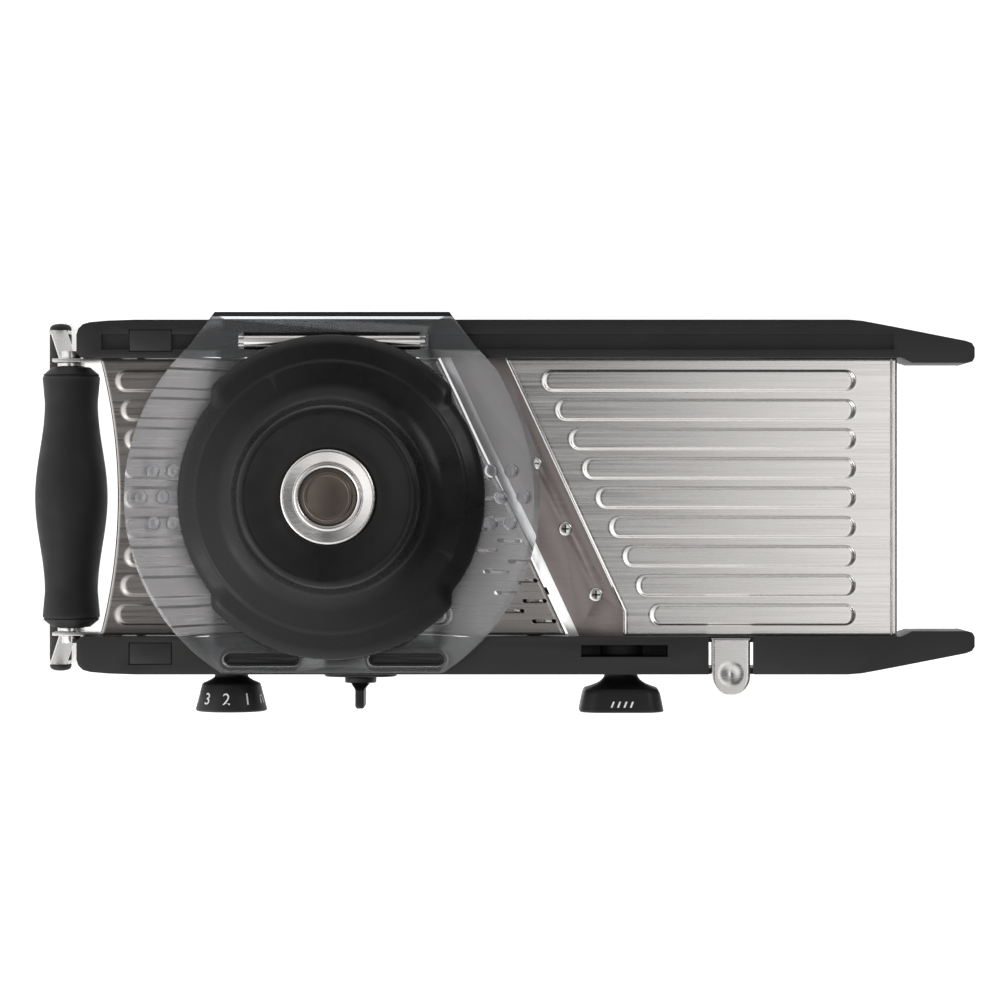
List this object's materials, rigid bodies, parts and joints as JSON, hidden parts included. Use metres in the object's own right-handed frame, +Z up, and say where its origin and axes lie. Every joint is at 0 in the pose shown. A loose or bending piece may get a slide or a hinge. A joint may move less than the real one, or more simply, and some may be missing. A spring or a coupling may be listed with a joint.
{
  "type": "mandoline slicer",
  "caption": "Mandoline slicer with steel decks, a diagonal blade, dials, lifting combs, folding stand and a sliding hand guard with a sprung plunger.",
  "frame": {"origin": "bottom centre of the object's box, on the level of the stand's foot", "axes": "+X along the slide from the handle to the rail tips, +Y to the back rail, +Z up out of the deck"},
  "size_m": [0.421, 0.177, 0.1652],
  "materials": {
    "rail_plastic": "fine spark texture, satin black",
    "inner_plastic": "matte dark grey",
    "rubber": "soft matte black",
    "brushed_steel": "brushed along its length",
    "blade_steel": "dark ground steel with a bright bevel",
    "bright_steel": "polished",
    "clear_plastic": "clear gloss",
    "dome_plastic": "satin black, soft touch",
    "cap_metal": "dark bronze, satin"
  },
  "bodies": {
    "frame": {"rail_front": "rail_plastic", "rail_back": "rail_plastic", "panel_front": "rail_plastic", "panel_back": "rail_plastic", "tip_pad_front": "rubber", "tip_pad_back": "rubber", "dial_bush": "inner_plastic", "selector_bush": "inner_plastic", "lock_bush": "inner_plastic", "lock_plate": "rail_plastic", "tie_left": "inner_plastic", "tie_right": "inner_plastic", "deck_posts": "inner_plastic", "tie_screws": "bright_steel", "landing_deck": "brushed_steel", "blade": "blade_steel", "blade_carrier": "inner_plastic", "blade_screws": "bright_steel", "grip": "rubber", "grip_cap_front": "rubber", "grip_cap_back": "rubber", "handle_rod": "bright_steel", "handle_nuts": "bright_steel", "bracket_front": "brushed_steel", "bracket_back": "brushed_steel"},
    "runway": {"runway": "brushed_steel", "runway_lugs": "inner_plastic", "runway_pin": "bright_steel", "runway_stiffener_front": "inner_plastic", "runway_stiffener_back": "inner_plastic", "runway_rider": "inner_plastic"},
    "dial": {"dial_knob": "rail_plastic", "dial_shaft": "bright_steel", "dial_cam": "inner_plastic"},
    "selector": {"selector_knob": "rail_plastic", "selector_shaft": "bright_steel", "selector_crank": "inner_plastic"},
    "combs": {"comb_frame": "inner_plastic", "comb_fine": "brushed_steel", "comb_coarse": "brushed_steel"},
    "lock": {"lock_lever": "rail_plastic", "lock_shaft": "bright_steel"},
    "release": {"release_tab": "brushed_steel"},
    "stand": {"leg_front": "bright_steel", "leg_back": "bright_steel", "foot_rod": "bright_steel", "foot_sleeve": "rubber", "foot_caps": "rubber"},
    "guard": {"guard_plate": "clear_plastic", "guard_pin": "bright_steel", "guard_glide_left": "rubber", "guard_glide_right": "rubber", "guard_bumps": "clear_plastic", "guard_sleeve": "clear_plastic"},
    "plunger": {"dome": "dome_plastic", "dome_ring": "brushed_steel", "dome_cap": "cap_metal", "pusher": "dome_plastic", "prongs": "bright_steel", "plunger_spring": "bright_steel"}
  },
  "joints": [
    {"name": "dial_turn", "type": "hinge", "parent": "frame", "child": "dial", "pos_m": [-0.1169, 0.0065, 0.1022], "axis": [0, 1, 0], "range_deg": [-45, 180]},
    {"name": "runway_tilt", "type": "hinge", "parent": "frame", "child": "runway", "pos_m": [-0.1563, 0.0065, 0.1092], "axis": [0, 1, 0], "range_deg": [-0.31, 1.21]},
    {"name": "selector_turn", "type": "hinge", "parent": "frame", "child": "selector", "pos_m": [0.0561, 0.0065, 0.1022], "axis": [0, 1, 0], "range_deg": [-0.1, 120.1]},
    {"name": "comb_lift", "type": "slide", "parent": "frame", "child": "combs", "axis": [0, 0, 1], "range_m": [0, 0.00762]},
    {"name": "lock_turn", "type": "hinge", "parent": "frame", "child": "lock", "pos_m": [-0.0595, 0.0065, 0.1022], "axis": [0, 1, 0], "range_deg": [0, 90]},
    {"name": "release_pull", "type": "slide", "parent": "frame", "child": "release", "axis": [0, -1, 0], "range_m": [0, 0.004], "stiffness_N_per_m": 300},
    {"name": "stand_fold", "type": "hinge", "parent": "frame", "child": "stand", "pos_m": [-0.1877, 0.0065, 0.1052], "axis": [0, 1, 0], "range_deg": [-70, 0]},
    {"name": "guard_slide", "type": "slide", "parent": "frame", "child": "guard", "axis": [1, 0, 0], "range_m": [-0.012, 0.18]},
    {"name": "plunger_lift", "type": "slide", "parent": "guard", "child": "plunger", "axis": [0, 0, 1], "range_m": [0, 0.018], "stiffness_N_per_m": 300, "springref_m": -0.005, "deforming": ["plunger_spring"]}
  ],
  "couplings": [
    {"joint": "runway_tilt", "follows": "dial_turn", "ratio": 0.0066667},
    {"joint": "selector_turn", "follows": "comb_lift", "rad_per_m": 274.86}
  ]
}
